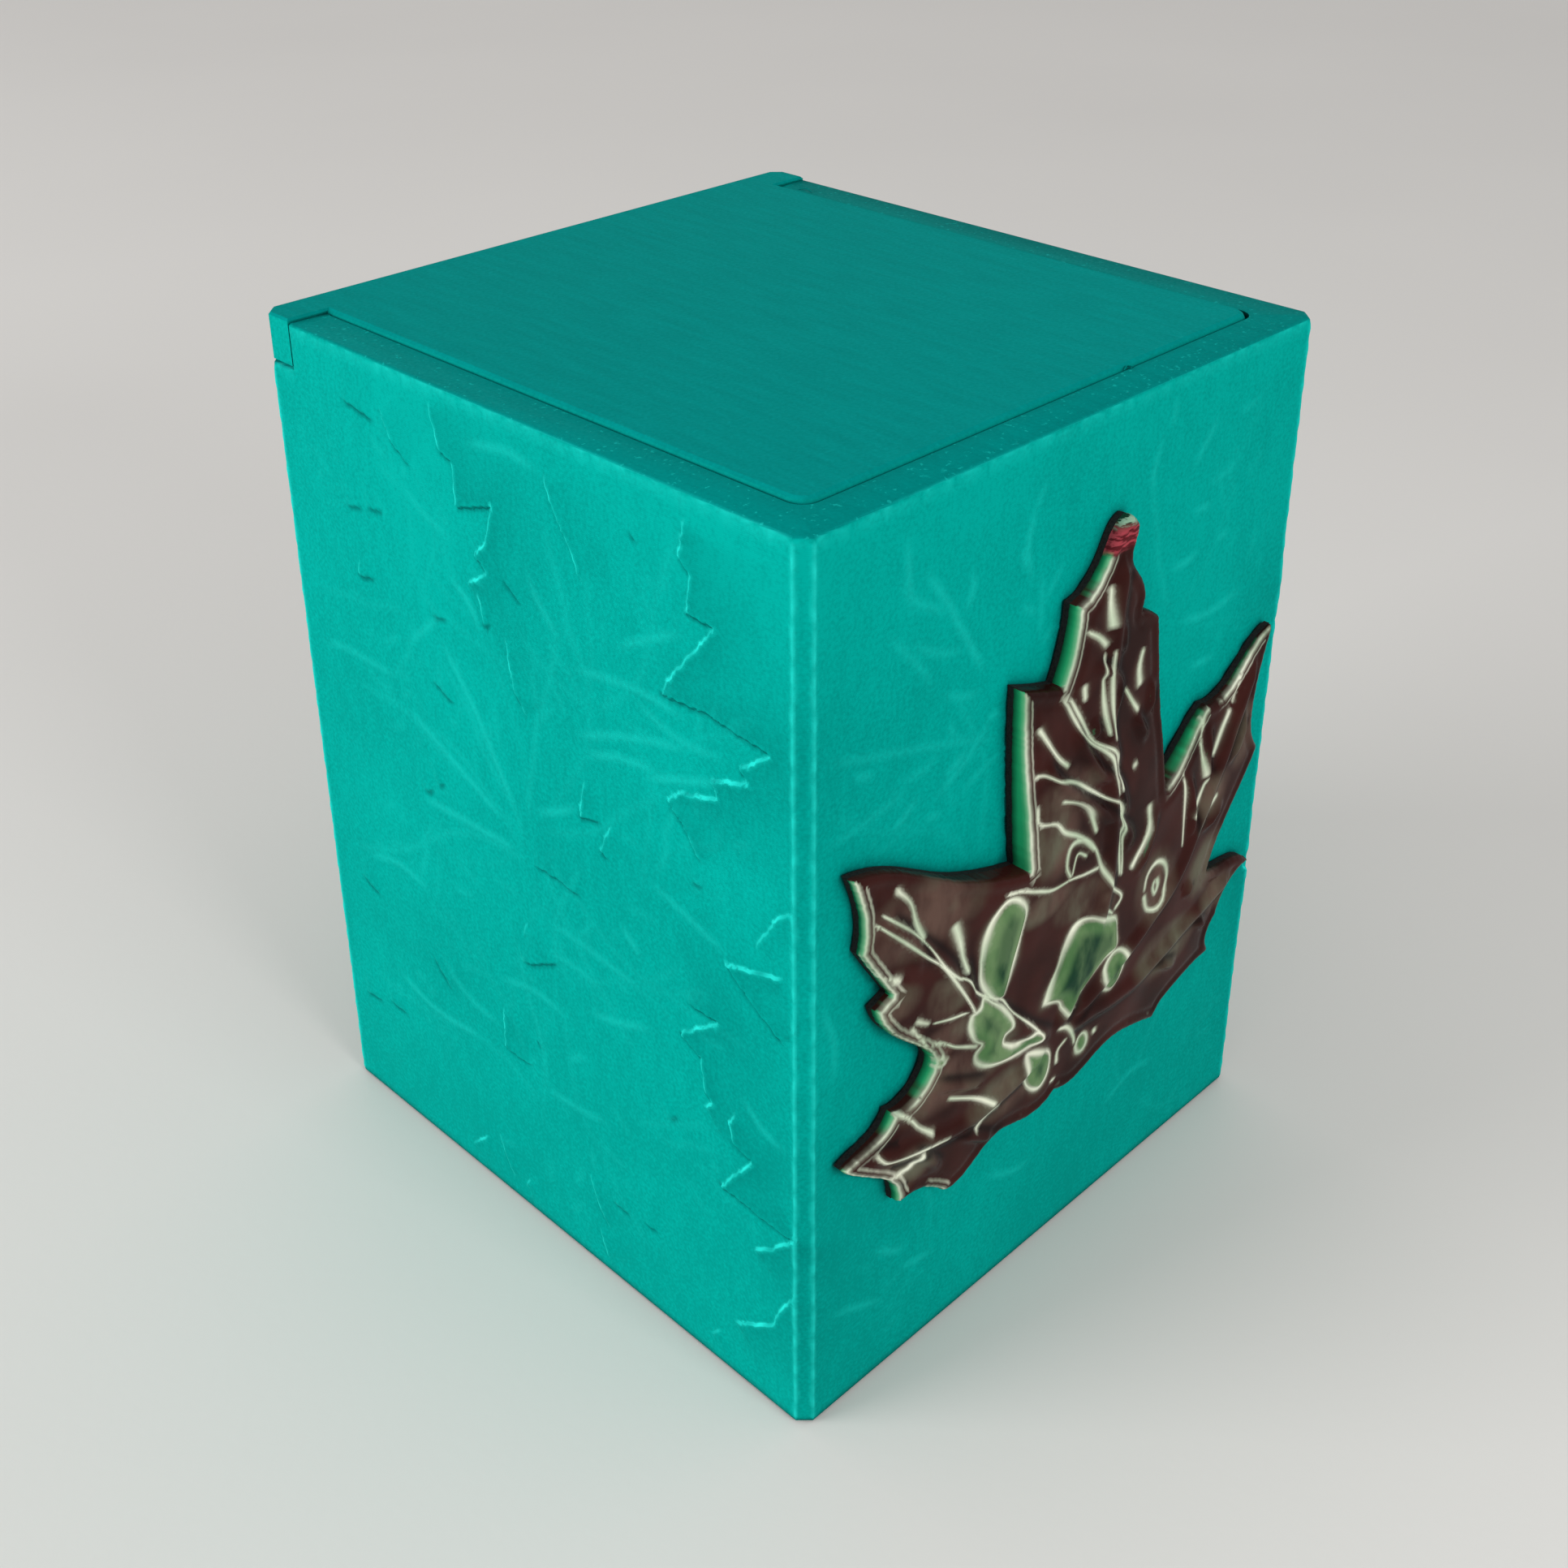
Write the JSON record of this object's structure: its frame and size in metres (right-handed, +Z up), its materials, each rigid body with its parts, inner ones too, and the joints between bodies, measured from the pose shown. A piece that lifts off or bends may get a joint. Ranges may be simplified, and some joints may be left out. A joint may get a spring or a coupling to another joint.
{
  "type": "card deck box",
  "caption": "Upright card deck box with a dovetailed lid that slides out to the back, leaf relief on its sides and a domed leaf badge on its front.",
  "frame": {"origin": "middle of the case's underside, where it rests", "axes": "+X to the right across the front, +Y from the badge side to the back, where the lid slides out, +Z up"},
  "size_m": [0.0798, 0.0877, 0.1054],
  "materials": {
    "case_plastic": "matte, fine printed layers",
    "lid_plastic": "matte, fine printed layers",
    "badge_gloss": "high gloss clear coat over dark two-colour print",
    "pad_foam": "matte black"
  },
  "bodies": {
    "case": {"box_body": "case_plastic", "badge_adhesive_pad": "pad_foam", "leaf_badge": "badge_gloss"},
    "lid": {"sliding_lid": "lid_plastic"}
  },
  "joints": [
    {"name": "lid_slide", "type": "slide", "parent": "case", "child": "lid", "axis": [0, 1, 0], "range_m": [0, 0.085]}
  ]
}
